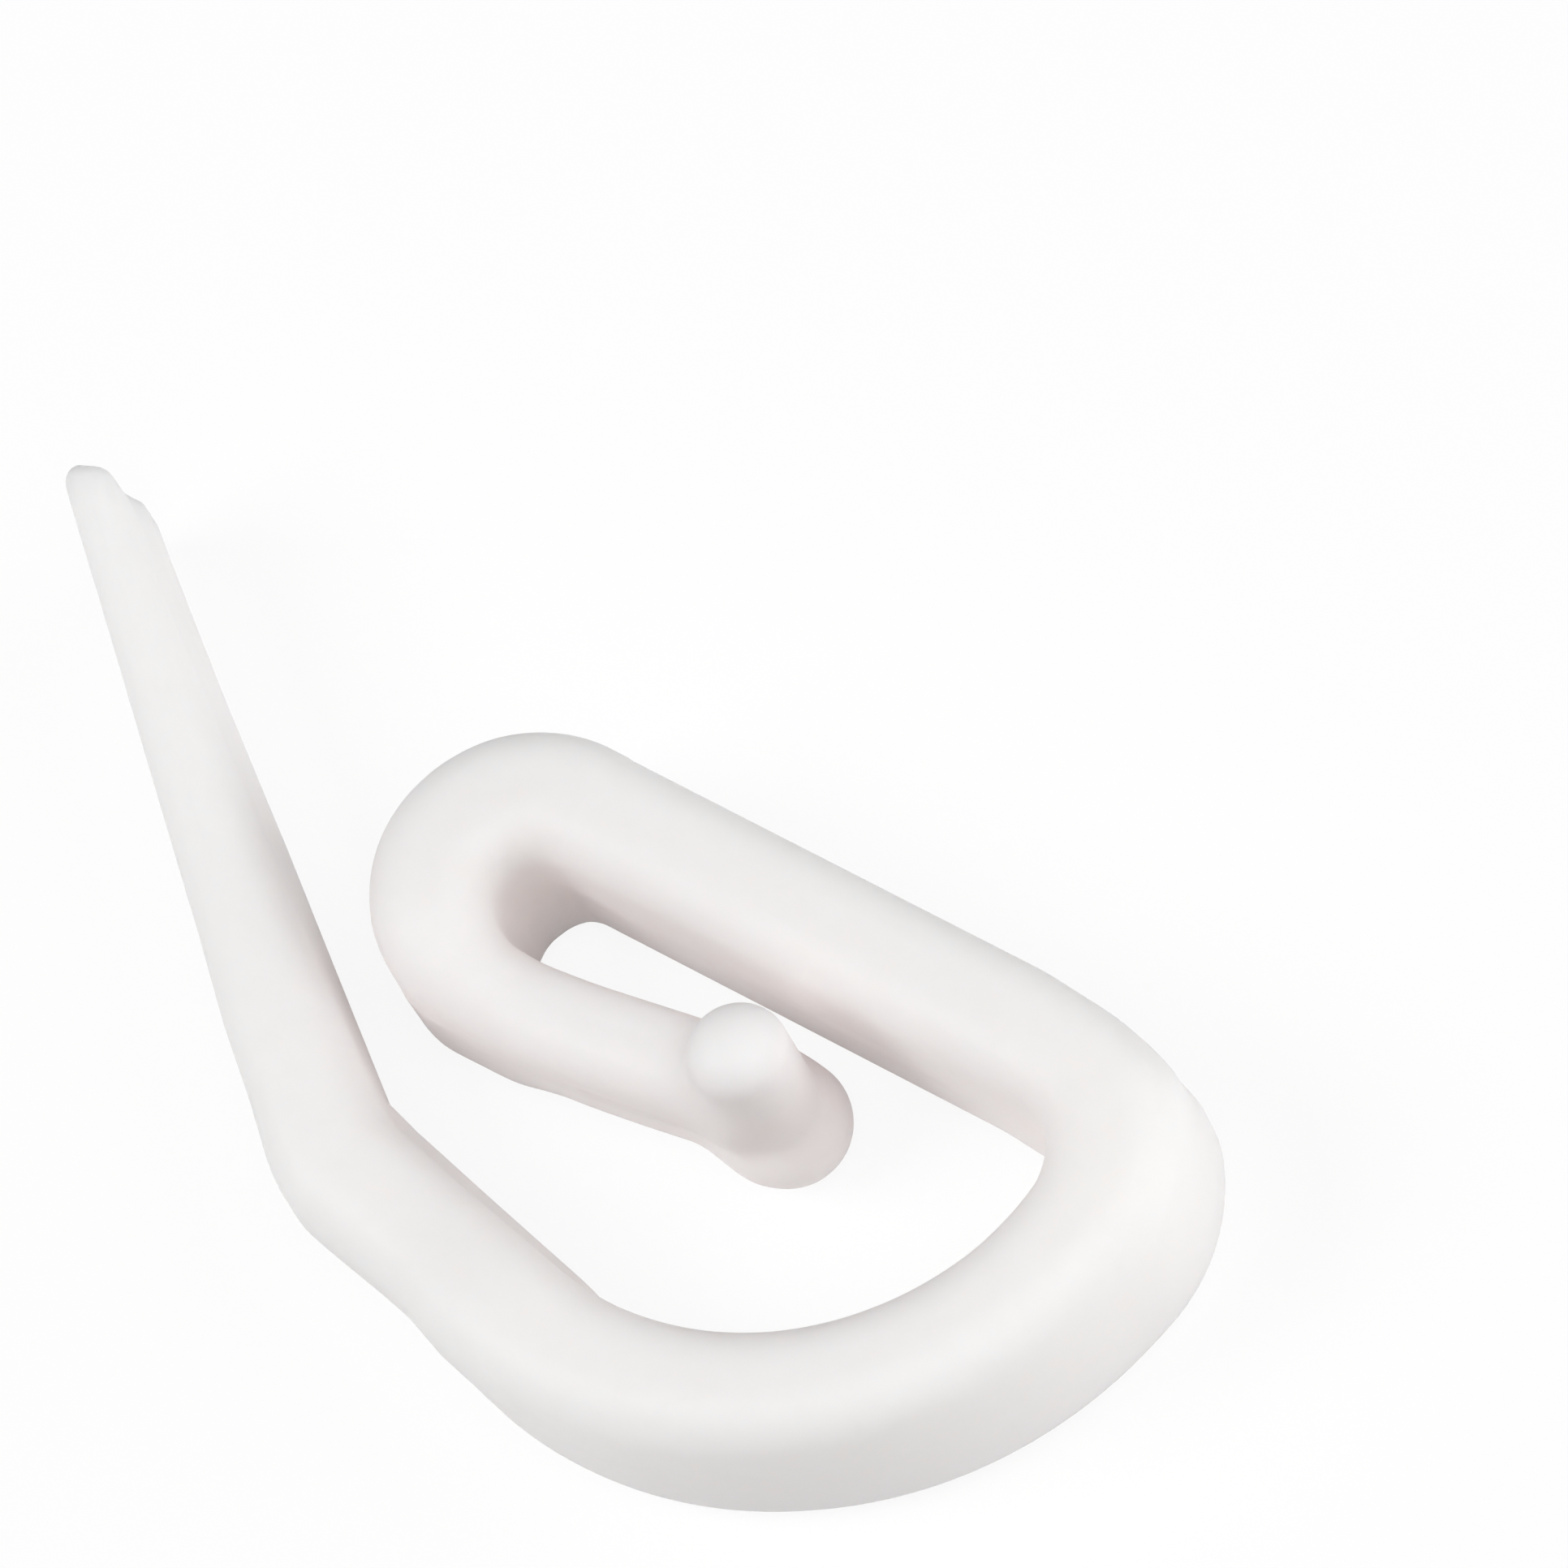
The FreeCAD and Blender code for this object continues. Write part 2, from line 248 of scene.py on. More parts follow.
@dataclass(frozen=True)
class Mould:
    """What the mould leaves on the bar.

    Its lower half sits a little to one side, so that a parting line runs round the walls, crisp from the bend to the
    bow and soft elsewhere. The walls are drawn in with the distance from it, the top sinks a little, and some edges
    stand out or in by up to two tenths of a millimetre. Knots round the turn and the slot are in degrees, and along
    the arm in millimetres.
    """

    parting_height: float = 2.3
    crisp_step: float = 0.035
    soft_step: float = 0.7
    lower_shift: tuple[float, float] = (0.0, -0.127)
    draft: float = 0.02
    sink: float = 0.02
    trim_softness: float = 0.2
    turn_softness: float = 4.0
    outer_edge: tuple[Trim, ...] = (
        Trim(Run.PRONG, ((0.0, 0.0), (0.04, 0.04), (0.30, -0.02), (0.68, -0.06), (0.82, -0.03), (0.92, -0.09))),
        Trim(Run.BEND, ((0.0, -0.09), (0.80, 0.02))),
        Trim(Run.LEG, ((0.30, 0.0), (0.90, -0.06))),
        Trim(Run.LEG_BLEND, ((0.25, -0.09), (0.65, 0.03))),
        Trim(Run.BOW, ((0.10, 0.0), (0.45, -0.04), (0.95, 0.0))),
        Trim(Run.SHOULDER, ((0.30, 0.08), (0.60, 0.18), (0.69, 0.03), (0.80, -0.10), (0.94, -0.14))),
        Trim(Run.BACK, ((0.10, -0.02), (0.50, -0.02))),
    )
    inner_edge: tuple[Trim, ...] = (
        Trim(Run.PRONG, ((0.0, -0.05), (0.04, 0.0))),
        Trim(Run.BOW, ((0.85, 0.0), (0.97, 0.05))),
        Trim(Run.SHOULDER, ((0.20, 0.10), (0.40, 0.10), (0.70, 0.0))),
    )
    inner_lower_edge: tuple[Trim, ...] = (
        Trim(Run.PRONG, ((0.0, 0.19), (0.02, 0.12), (0.05, 0.05), (0.30, 0.0))),
        Trim(Run.PRONG, ((0.55, 0.0), (0.94, -0.10), (0.971, -0.115))),
        Trim(Run.BEND, ((0.0, 0.07), (0.50, 0.16))),
        Trim(Run.LEG, ((0.0, 0.18),)),
        Trim(Run.LEG_BLEND, ((1.0, 0.17),)),
        Trim(Run.BOW, ((0.05, 0.14), (0.075, 0.0), (0.50, -0.04))),
        Trim(Run.SHOULDER, ((0.20, 0.04), (0.70, 0.10))),
        Trim(Run.BACK, ((0.04, 0.08), (0.12, 0.0))),
    )
    turn_edge: Knots = ((-80, 0.0), (-45, 0.04), (10, 0.04), (36, 0.0), (75, 0.0), (90, -0.06))
    turn_lower_edge: Knots = ((40, 0.0), (52, 0.16), (68, 0.12), (82, 0.0))
    slot_lower_edge: Knots = ((-60, 0.0), (-25, 0.08), (15, 0.08), (45, 0.0))
    arm_edge: Knots = ((0.0, -0.06), (0.9, -0.07), (2.2, -0.03), (3.6, 0.0))

    def moved(self, heights: np.ndarray) -> np.ndarray:
        """How far the mould's mismatch moves what is at each height, in plan: all of it below the parting line."""
        half = self.soft_step / 2
        low = 1.0 - smooth_step(heights, self.parting_height - half, self.parting_height + half)
        return low[..., None] * np.array(self.lower_shift)


@dataclass
class Bar:
    """The bar from the prong's tip through bend, leg, bow, shoulder, back and turn to the arm.

    Sizes are in millimetres and angles in degrees. Each pair of numbers is where a change begins and ends, measured
    from the bend, the bow or the tip, and for the top and the bottom from the turn's end.
    """

    bar_width: float = 2.7
    bar_depth: float = 4.5
    bar_corner: float = 0.95
    back_length: float = 12.0
    shoulder_radius: float = 2.7
    shoulder_angle: float = 94.4
    bow_radius: float = 7.8
    bow_angle: float = 98.2
    leg_width: float = 2.65
    leg_depth: float = 3.45
    leg_lift: float = 0.65
    leg_blend_length: float = 3.0
    leg_length: float = 2.05
    bend_radius: float = 3.0
    bend_angle: float = 24.4
    prong_length: float = 16.3
    prong_bow: float = 0.04
    tip_width: float = 1.0
    tip_corner: float = 0.45
    tip_round: float = 0.35
    sharp_side: float = 0.3
    tip_slant: float = 0.2
    slant_reach: float = 2.4
    least_corner: float = 0.1
    corner_share: float = 0.49
    depth_overrun: float = 0.4
    crisp_from_bend: tuple[float, float] = (-3.0, -1.0)
    soft_from_bow: tuple[float, float] = (0.2, 1.2)
    mismatch_change: tuple[float, float] = (-0.5, 1.0)
    slot_width: float = 1.75
    slot_setback: float = 0.5
    arm_width: float = 2.1
    arm_depth: float = 3.1
    arm_corner: float = 0.85
    arm_lift: float = 0.72
    arm_blend_length: float = 2.6
    arm_length: float = 3.7
    arm_angle: float = 9.1
    top_change: tuple[float, float] = (-1.8, 0.9)
    bottom_change: tuple[float, float] = (0.0, 1.9)
    end_setback: float = 0.3
    path_step: float = 0.01
    station_step: float = 0.14
    arm_step: float = 0.07
    tip_stations: int = 12
    turn_stations: int = 74
    blend_stations: int = 28
    mould: Mould = field(default_factory=Mould)

    def turn_centre(self) -> tuple[np.ndarray, float]:
        """Centre in plan and radius of the turn's outer half circle."""
        radius = (self.bar_width + self.slot_width + self.arm_width) / 2
        return np.array([self.back_length / 2, radius - self.bar_width / 2]), radius

    def slot_centre(self) -> np.ndarray:
        """Centre in plan of the slot's round end."""
        return np.array([self.back_length / 2 - self.slot_setback, (self.bar_width + self.slot_width) / 2])

    def arm_heading(self) -> float:
        """Heading of the arm's straight run, in radians."""
        return math.pi + math.radians(self.arm_angle)

    def arm_ahead(self) -> np.ndarray:
        """Direction in plan of the arm's straight run."""
        heading = self.arm_heading()
        return np.array([math.cos(heading), math.sin(heading)])

    def arm_start(self) -> np.ndarray:
        """Place in plan where the arm's middle line leaves the turn."""
        return self.slot_centre() + [0.0, (self.slot_width + self.arm_width) / 2]

    def pin_place(self) -> np.ndarray:
        """Place in plan of the pin's axis, at the end of the arm."""
        chord = math.pi + math.radians(self.arm_angle) / 2
        return self.arm_start() + self.arm_blend_length * directions(chord) + self.arm_length * self.arm_ahead()

    def run_knots(self) -> tuple[np.ndarray, np.ndarray]:
        """Lengths along the path from the tip where its runs meet, and the heading there in radians.

        Returns:
            The lengths, and the headings, which change evenly between them, so that each run is a line or an arc.
        """
        runs = [
            (self.prong_length, 0.0),
            (self.bend_radius * math.radians(self.bend_angle), self.bend_angle),
            (self.leg_length, 0.0),
            (self.leg_blend_length, 0.0),
            (self.bow_radius * math.radians(self.bow_angle), self.bow_angle),
            (self.shoulder_radius * math.radians(self.shoulder_angle), self.shoulder_angle),
            (self.back_length - self.slot_setback, 0.0),
        ]
        lengths = np.concatenate([[0.0], np.cumsum([run[0] for run in runs])])
        turns = np.concatenate([[0.0], np.cumsum([run[1] for run in runs])])
        return lengths, np.radians(turns - turns[-1])

    def long_stretch(self) -> Stations:
        """Sections from the tip to the slot's end.

        The heading changes evenly between the knots, and a place is the sum of the small steps along it. The prong
        bows to the right by 4 t (1 - t) of its bow, with t the share of its length.

        Returns:
            The sections.
        """
        knots, headings = self.run_knots()
        end = knots[-1]
        fine = np.linspace(0.0, end, int(end / self.path_step))
        heading = np.interp(fine, knots, headings)
        steps = np.diff(fine)[:, None]
        middle = (heading[1:] + heading[:-1]) / 2
        moves = steps * directions(middle)
        places = np.concatenate([np.zeros((1, 2)), np.cumsum(moves, axis=0)])
        places += np.array([self.back_length / 2 - self.slot_setback, 0.0]) - places[-1]

        tip = self.tip_round * (1.0 - np.cos(np.linspace(0.0, math.pi / 2, self.tip_stations)))
        rest = np.linspace(self.tip_round, end, int(end / self.station_step))[1:]
        along = np.concatenate([tip, rest])
        angle = np.interp(along, knots, headings)
        centre = np.stack([np.interp(along, fine, places[:, axis]) for axis in (0, 1)], axis=1)
        across = rightward(angle)
        share = np.clip(along / self.prong_length, 0.0, 1.0)
        centre = centre + across * (self.prong_bow * 4.0 * share * (1.0 - share))[:, None]

        bend, _, blend, bow = knots[1:5]
        widths = np.array([self.tip_width, self.leg_width, self.leg_width, self.bar_width])
        half_width = np.interp(along, [0.0, bend, blend, bow], widths / 2)
        deep = smooth_step(along, blend - self.depth_overrun, bow + self.depth_overrun)
        turned_crisp = smooth_step(along, *(bend + np.array(self.crisp_from_bend)))
        crisp = turned_crisp * (1.0 - smooth_step(along, *(bow + np.array(self.soft_from_bow))))
        inset = self.tip_inset(along)
        left_width = half_width - inset * self.sharp_side + self.trimmed(along, self.mould.inner_edge)
        right_width = half_width - inset + self.trimmed(along, self.mould.outer_edge)
        corner = np.interp(along, [0.0, bend], [self.tip_corner, self.bar_corner])
        widest = (left_width + right_width) * self.corner_share
        corner = np.minimum(np.maximum(corner - inset, self.least_corner), widest)
        return Stations(
            left=centre - across * left_width[:, None],
            right=centre + across * right_width[:, None],
            bottom=self.leg_lift * (1.0 - deep) + inset * self.sharp_side,
            top=(self.leg_lift + self.leg_depth) * (1.0 - deep) + self.bar_depth * deep - inset,
            corner=corner,
            mismatch=smooth_step(along, *self.mismatch_change),
            left_lower=self.trimmed(along, self.mould.inner_lower_edge),
            right_lower=np.zeros_like(along),
            parting_step=self.mould.soft_step + (self.mould.crisp_step - self.mould.soft_step) * crisp,
            setback=self.tip_slant * (1.0 - smooth_step(along, 0.0, self.slant_reach)),
        )

    def trimmed(self, along: np.ndarray, trims: tuple[Trim, ...]) -> np.ndarray:
        """How far an edge stands out at each length along the path.

        Args:
            along: lengths from the tip.
            trims: what it does, in order along the path.

        Returns:
            One distance for each length.
        """
        lengths, _ = self.run_knots()
        index = np.repeat([trim.run.value for trim in trims], [len(trim.knots) for trim in trims])
        share, stand_out = np.transpose([knot for trim in trims for knot in trim.knots])
        places = lengths[index] + share * (lengths[index + 1] - lengths[index])
        return followed(along, places, stand_out, self.mould.trim_softness)

    def turn_trimmed(self, angle: np.ndarray, knots: Knots) -> np.ndarray:
        """How far an edge stands out at each angle round the turn, from pairs of degrees and millimetres."""
        return followed(np.degrees(angle), *np.transpose(knots), self.mould.turn_softness)

    def tip_inset(self, along: np.ndarray) -> np.ndarray:
        """How far the tip's rounding draws the outline in: r - sqrt(r^2 - (r - s)^2) in the first r of the path."""
        short = np.clip(self.tip_round - along, 0.0, None)
        return self.tip_round - np.sqrt(np.clip(self.tip_round ** 2 - short ** 2, 0.0, None))

    def turn_stretch(self) -> Stations:
        """Sections round the slot's end, from the back bar to the arm.

        The inner edge is the slot's half circle. The outer edge is a larger half circle with a short straight
        piece at either end, and both are divided evenly along their own length.

        Returns:
            The sections.
        """
        centre, radius = self.turn_centre()
        share = np.linspace(-1.0, 1.0, self.turn_stations)[1:-1]
        inner_angle = share * math.pi / 2
        inner = self.slot_centre() + self.slot_width / 2 * directions(inner_angle)
        length = np.abs(share) * (radius * math.pi / 2 + self.slot_setback)
        outer_angle = np.sign(share) * np.minimum(length / radius, math.pi / 2)
        beyond = np.clip(length - radius * math.pi / 2, 0.0, None)
        stand_out = self.turn_trimmed(outer_angle, self.mould.turn_edge)
        outer = centre + (radius + stand_out)[:, None] * directions(outer_angle)
        outer[:, 0] -= beyond
        even = np.ones_like(share)
        before_arm = (share - 1.0) * math.pi / 2 * (radius + self.slot_width / 2) / 2
        return Stations(
            left=inner,
            right=outer,
            bottom=0.0 * even,
            top=self.top_height(before_arm),
            corner=self.bar_corner * even,
            mismatch=even,
            left_lower=self.turn_trimmed(inner_angle, self.mould.slot_lower_edge),
            right_lower=self.turn_trimmed(outer_angle, self.mould.turn_lower_edge),
            parting_step=self.mould.soft_step * even,
            setback=0.0 * even,
        )

    def arm_stretch(self) -> Stations:
        """Sections from the turn to the pin's axis: a gentle bend in which the depth shrinks, then a straight run.

        Returns:
            The sections, the last of them inside the pin.
        """
        slant = math.radians(self.arm_angle)
        share = np.linspace(0.0, 1.0, self.blend_stations)
        chord = math.pi + slant * share / 2
        curve = self.arm_start() + (self.arm_blend_length * share)[:, None] * directions(chord)
        run = np.linspace(0.0, self.arm_length, int(self.arm_length / self.arm_step))[1:]
        centre = np.concatenate([curve, curve[-1] + run[:, None] * self.arm_ahead()])
        angle = np.concatenate([math.pi + slant * share, np.full_like(run, self.arm_heading())])
        across = rightward(angle)
        along = np.concatenate([self.arm_blend_length * share, self.arm_blend_length + run])
        shrink = smooth_step(along, *self.bottom_change)
        half = self.arm_width / 2
        outer = half + followed(along, *np.transpose(self.mould.arm_edge), self.mould.trim_softness)
        return Stations(
            left=centre - across * half,
            right=centre + across * outer[:, None],
            bottom=self.arm_lift * shrink,
            top=self.top_height(along),
            corner=self.bar_corner * (1.0 - shrink) + self.arm_corner * shrink,
            mismatch=np.ones_like(along),
            left_lower=np.zeros_like(along),
            right_lower=np.zeros_like(along),
            parting_step=np.full_like(along, self.mould.soft_step),
            setback=np.zeros_like(along),
        )

    def top_height(self, past_turn: np.ndarray) -> np.ndarray:
        """Height of the top where the turn runs into the arm, by the length past the turn's end."""
        shrink = smooth_step(past_turn, *self.top_change)
        return self.bar_depth * (1.0 - shrink) + (self.arm_lift + self.arm_depth) * shrink

    def vertices(self, outline: Outline) -> np.ndarray:
        """Carries the outline along the path.

        Each point is the section's middle, plus its distance across along the line between the two edges, plus
        its height. Draft draws it in with its distance from the parting line, and the top sinks between the rounds
        by (1 - t^2)^2 of its most, with t the share of the half width. The setback moves a point along the path,
        on at its left and back at its right, by more the higher it is. All below the parting line is moved sideways
        by the mould's mismatch.

        Args:
            outline: the section's outline.

        Returns:
            The places in millimetres, sections by outline points by 3.
        """
        mould = self.mould
        rows = Stations.joined([self.long_stretch(), self.turn_stretch(), self.arm_stretch()])
        middle = (rows.left + rows.right) / 2
        span = rows.right - rows.left
        width = np.linalg.norm(span, axis=1)
        across = span / width[:, None]
        corner = rows.corner[:, None]
        sideways = outline.across_width * width[:, None] / 2 + outline.across_corner * corner
        height = (
            outline.share_bottom * rows.bottom[:, None]
            + outline.share_top * rows.top[:, None]
            + outline.share_parting * mould.parting_height
            + outline.share_corner * corner
            + outline.off_parting * rows.parting_step[:, None] / 2
        )
        fade = rows.mismatch[:, None]
        off_parting = np.abs(height - mould.parting_height)
        sideways = sideways - outline.across_width * mould.draft * off_parting * fade
        on_left = np.clip(-outline.across_width, 0.0, 1.0) * outline.is_lower
        on_right = np.clip(outline.across_width, 0.0, 1.0) * outline.is_lower
        sideways = sideways - on_left * rows.left_lower[:, None] + on_right * rows.right_lower[:, None]
        flat = outline.share_top * (outline.share_corner == 0.0)
        flat_half = width[:, None] / 2 - corner
        hollow = (1.0 - outline.across_width ** 2) ** 2
        height = height - mould.sink * flat_half * flat * hollow * fade
        plan = middle[:, None, :] + sideways[:, :, None] * across[:, None, :]
        upper = np.clip((height - rows.bottom[:, None]) / (rows.top - rows.bottom)[:, None], 0.0, 1.0)
        leftward = np.clip(-2.0 * sideways / width[:, None], -1.0, 1.0)
        ahead = np.stack([-across[:, 1], across[:, 0]], axis=1)
        plan = plan + (rows.setback[:, None] * upper * leftward)[:, :, None] * ahead[:, None, :]
        plan = plan + (outline.is_lower * fade)[:, :, None] * np.array(mould.lower_shift)
        return np.concatenate([plan, height[:, :, None]], axis=2)

    def arm_distance(self, places: np.ndarray) -> np.ndarray:
        """Signed distance to the arm's straight run, a rounded rectangle that ends a little before the pin's axis.

        Args:
            places: places in millimetres, one row each.

        Returns:
            The distances, negative inside.
        """
        ahead = self.arm_ahead()
        left = np.array([-ahead[1], ahead[0]])
        from_pin = places[:, :2] - self.mould.moved(places[:, 2]) - self.pin_place()
        drawn_in = self.mould.draft * np.abs(places[:, 2] - self.mould.parting_height)
        sideways = np.abs(from_pin @ left) + drawn_in
        past_end = from_pin @ ahead + self.end_setback
        upward = np.abs(places[:, 2] - self.arm_lift - self.arm_depth / 2)
        past_side = sideways - (self.arm_width / 2 - self.arm_corner)
        past_top = upward - (self.arm_depth / 2 - self.arm_corner)
        outside = np.hypot(np.maximum(past_side, 0.0), np.maximum(past_top, 0.0))
        around = outside + np.minimum(np.maximum(past_side, past_top), 0.0) - self.arm_corner
        beyond = np.hypot(np.maximum(around, 0.0), np.maximum(past_end, 0.0))
        return beyond + np.minimum(np.maximum(around, past_end), 0.0)


@dataclass
class Pin:
    """The pin across the arm's end: a ball on the floor, a plain side and a domed top."""

    ball_radius: float = 1.32
    radius: float = 1.05
    length: float = 5.5
    dome_height: float = 0.8
    neck_blend: float = 0.25
    mould: Mould = field(default_factory=Mould)
    steps_round: int = 96
    steps_up: int = 110

    def profile(self) -> tuple[np.ndarray, np.ndarray]:
        """Radius and height from the bottom pole to the top pole.

        The radius is the greater of the ball's circle and the side, joined softly. The side ends in half an
        ellipse, and the heights are spaced by a cosine, close together at both poles.

        Returns:
            The radii and the heights in millimetres.
        """
        height = self.length * (1.0 - np.cos(np.linspace(0.0, math.pi, self.steps_up))) / 2
        ball = np.sqrt(np.clip(self.ball_radius ** 2 - (height - self.ball_radius) ** 2, 0.0, None))
        past = np.clip((height - self.length + self.dome_height) / self.dome_height, 0.0, 1.0)
        side = self.radius * np.sqrt(1.0 - past ** 2)
        side = np.where(height < self.ball_radius, 0.0, side)
        between_poles = np.sign(height * (self.length - height))
        return -softly_joined(-ball, -side, self.neck_blend) * between_poles, height

    def vertices(self, place: np.ndarray) -> np.ndarray:
        """Turns the profile about the pin's upright axis.

        Args:
            place: the axis in plan.

        Returns:
            The places in millimetres, heights by steps round by 3.
        """
        radius, height = self.profile()
        angle = np.arange(self.steps_round) * 2.0 * math.pi / self.steps_round
        plan = place + radius[:, None, None] * directions(angle)
        plan = plan + self.mould.moved(height)[:, None, :]
        return np.concatenate([plan, np.broadcast_to(height[:, None, None], (*plan.shape[:2], 1))], axis=2)

    def distance(self, places: np.ndarray, place: np.ndarray) -> np.ndarray:
        """Signed distance to the pin: the ball and the round side, joined softly.

        Args:
            places: places in millimetres, one row each.
            place: the axis in plan.

        Returns:
            The distances, negative inside.
        """
        out = np.linalg.norm(places[:, :2] - self.mould.moved(places[:, 2]) - place, axis=1)
        ball = np.hypot(out, places[:, 2] - self.ball_radius) - self.ball_radius
        below = np.clip(self.ball_radius - places[:, 2], 0.0, None)
        above = np.clip(places[:, 2] - self.length + self.dome_height, 0.0, None) * self.radius / self.dome_height
        side = np.hypot(out, below + above) - self.radius
        return softly_joined(ball, side, self.neck_blend)


def set_inputs(node: bpy.types.Node, values: dict[str, float | tuple[float, ...]]) -> None:
    """Sets constant values on a node's inputs, by their names."""
    for name, value in values.items():
        node.inputs[name].default_value = value


@dataclass(frozen=True)
class Noise:
    """An uneven pattern: its scale per metre, how many finer layers it has and how strong each of them is."""

    scale: float
    detail: float
    rough: float

    def add(self, tree: bpy.types.NodeTree, place: bpy.types.NodeSocket) -> bpy.types.NodeSocket:
        """Adds the pattern at a place, and returns its output."""
        node = tree.nodes.new("ShaderNodeTexNoise")
        set_inputs(node, {"Scale": self.scale, "Detail": self.detail, "Roughness": self.rough})
        tree.links.new(place, node.inputs["Vector"])
        return node.outputs["Fac"]


@dataclass(frozen=True)
class SatinPlastic:
    """Off-white moulded plastic with a satin face: faint mottling, a fine uneven grain and a few specks.

    A bump is its strength, and its height in metres.
    """

    pale: Colour = (0.988, 0.905, 0.897)
    deep: Colour = (0.984, 0.896, 0.884)
    mottle: Noise = Noise(1700.0, 3.0, 0.55)
    mottle_range: tuple[float, float] = (0.32, 0.66)
    grain: Noise = Noise(5200.0, 2.0, 0.5)
    grain_range: tuple[float, float] = (0.3, 0.7)
    grain_bump: tuple[float, float] = (0.20, 0.00001)
    peel: Noise = Noise(1500.0, 1.5, 0.5)
    peel_bump: tuple[float, float] = (0.22, 0.00006)
    speck: Colour = (0.50, 0.44, 0.38)
    speck_scale: float = 420.0
    speck_size: float = 0.035
    speck_core: float = 0.4
    speck_strength: float = 0.55
    roughness: tuple[float, float] = (0.50, 0.64)
    specular: float = 0.34
    through_light: float = 1.0
    through_colour: Colour = (1.0, 0.95, 0.90)
    through_depth: float = 0.002

    def material(self, name: str) -> bpy.types.Material:
        """Builds the finish from Object coordinates.

        Args:
            name: the material's name.

        Returns:
            The material.
        """
        material = bpy.data.materials.new(name)
        material.use_nodes = True
        tree = material.node_tree
        shader = tree.nodes["Principled BSDF"]
        place = tree.nodes.new("ShaderNodeTexCoord").outputs["Object"]

        mottle = self.mottle.add(tree, place)
        tint = self.ramp(tree, mottle, list(zip(self.mottle_range, (self.deep, self.pale))))
        specks = self.specks(tree, place)
        mix = tree.nodes.new("ShaderNodeMix")
        mix.data_type = "RGBA"
        mix.inputs["B"].default_value = (*self.speck, 1.0)
        tree.links.new(specks, mix.inputs["Factor"])
        tree.links.new(tint, mix.inputs["A"])
        tree.links.new(mix.outputs["Result"], shader.inputs["Base Color"])

        grain = self.grain.add(tree, place)
        spread = tree.nodes.new("ShaderNodeMapRange")
        names = ("From Min", "From Max", "To Min", "To Max")
        set_inputs(spread, dict(zip(names, self.grain_range + self.roughness)))
        tree.links.new(grain, spread.inputs["Value"])
        tree.links.new(spread.outputs["Result"], shader.inputs["Roughness"])

        peel = self.peel.add(tree, place)
        coarse = self.bump_node(tree, peel, *self.peel_bump, None)
        fine = self.bump_node(tree, grain, *self.grain_bump, coarse)
        tree.links.new(fine, shader.inputs["Normal"])
        set_inputs(shader, {
            "Specular IOR Level": self.specular,
            "Subsurface Weight": self.through_light,
            "Subsurface Radius": self.through_colour,
            "Subsurface Scale": self.through_depth,
        })
        return material

    @staticmethod
    def ramp(tree: bpy.types.NodeTree, factor: bpy.types.NodeSocket,
             stops: list[tuple[float, Colour]]) -> bpy.types.NodeSocket:
        """Colour ramp through two stops, and its output."""
        node = tree.nodes.new("ShaderNodeValToRGB")
        for element, (position, colour) in zip(node.color_ramp.elements, stops):
            element.position = position
            element.color = (*colour, 1.0)
        tree.links.new(factor, node.inputs["Fac"])
        return node.outputs["Color"]

    def specks(self, tree: bpy.types.NodeTree, place: bpy.types.NodeSocket) -> bpy.types.NodeSocket:
        """Tiny soft dots, one near each of a few scattered points: 1 close to a point and 0 further off."""
        dots = tree.nodes.new("ShaderNodeTexVoronoi")
        dots.inputs["Scale"].default_value = self.speck_scale
        tree.links.new(place, dots.inputs["Vector"])
        near = tree.nodes.new("ShaderNodeMapRange")
        edge, core = self.speck_size, self.speck_size * self.speck_core
        set_inputs(near, {"From Min": edge, "From Max": core, "To Max": self.speck_strength})
        tree.links.new(dots.outputs["Distance"], near.inputs["Value"])
        return near.outputs["Result"]

    @staticmethod
    def bump_node(tree: bpy.types.NodeTree, height: bpy.types.NodeSocket, strength: float, distance: float,
                  before: bpy.types.NodeSocket | None) -> bpy.types.NodeSocket:
        """Bump of one height, on top of an earlier one if there is one, and its output."""
        node = tree.nodes.new("ShaderNodeBump")
        set_inputs(node, {"Strength": strength, "Distance": distance})
        tree.links.new(height, node.inputs["Height"])
        if before is not None:
            tree.links.new(before, node.inputs["Normal"])
        return node.outputs["Normal"]


